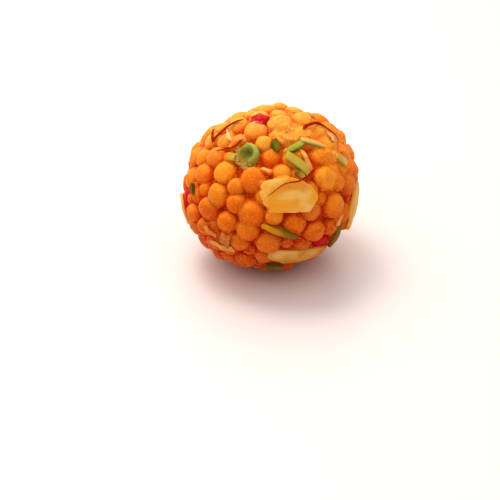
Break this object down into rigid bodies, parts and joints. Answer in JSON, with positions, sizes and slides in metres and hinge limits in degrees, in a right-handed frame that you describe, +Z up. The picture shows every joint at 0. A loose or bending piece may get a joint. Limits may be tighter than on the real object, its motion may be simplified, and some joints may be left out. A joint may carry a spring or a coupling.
{
  "type": "motichoor ladoo",
  "caption": "Round Indian sweet of fried gram flour pearls pressed into a ball, set with almond flakes, pistachio slivers, red pearls and saffron strands.",
  "frame": {"origin": "on the plate surface, at the middle of the small flat spot that the ball rests on", "axes": "+Z up; -Y is the front, with the largest almond flake; +X is to the right seen from the front"},
  "size_m": [0.0504, 0.0492, 0.0455],
  "materials": {
    "boondi": "fried gram flour pearls, orange, with a soft syrup gloss",
    "almond": "thin almond, pale cream stained amber by the syrup, satin"
  },
  "bodies": {
    "root": {"boondi_ball": "boondi", "almond_flake_front": "almond", "almond_flake_low": "almond", "almond_flake_right": "almond", "almond_flake_left": "almond", "almond_flake_back": "almond", "almond_flake_behind_left": "almond"}
  },
  "joints": []
}
